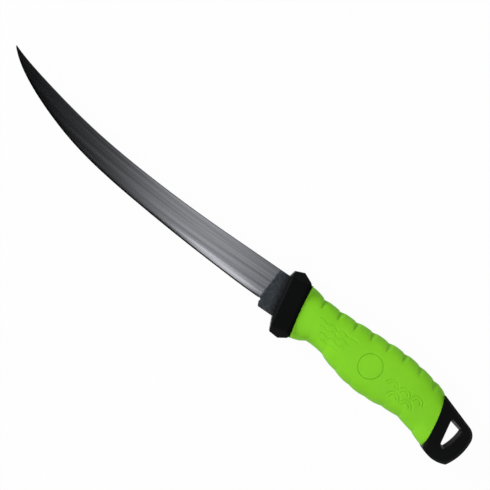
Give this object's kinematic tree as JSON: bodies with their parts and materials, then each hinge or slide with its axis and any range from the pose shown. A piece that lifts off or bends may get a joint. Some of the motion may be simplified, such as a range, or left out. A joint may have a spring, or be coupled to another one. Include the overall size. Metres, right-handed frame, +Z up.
{
  "type": "fillet knife",
  "caption": "Fillet knife with a slim upswept blade, a faceted guard, a scalloped soft-grip handle and a butt cap with a three-cornered lanyard hole.",
  "frame": {"origin": "on the surface that the knife lies on, under the middle of the guard", "axes": "+X from the tip to the butt, +Y from the cutting edge to the back of the blade, +Z up, away from the surface"},
  "size_m": [0.3388, 0.0618, 0.025],
  "materials": {
    "blade_steel": "dark satin steel, brushed along the blade",
    "guard_black": "smooth matte black",
    "cap_black": "smooth matte black",
    "core_black": "moulded black, hidden",
    "grip_green": "soft matte lime green",
    "badge_green": "soft matte lime green",
    "fastener_steel": "plain steel, hidden"
  },
  "bodies": {
    "root": {"blade": "blade_steel", "guard": "guard_black", "core_left": "core_black", "core_right": "core_black", "tang_rivets": "fastener_steel", "grip_sleeve": "grip_green", "badge_left": "badge_green", "badge_right": "badge_green", "butt_cap": "cap_black", "cap_pin": "fastener_steel"}
  },
  "joints": []
}
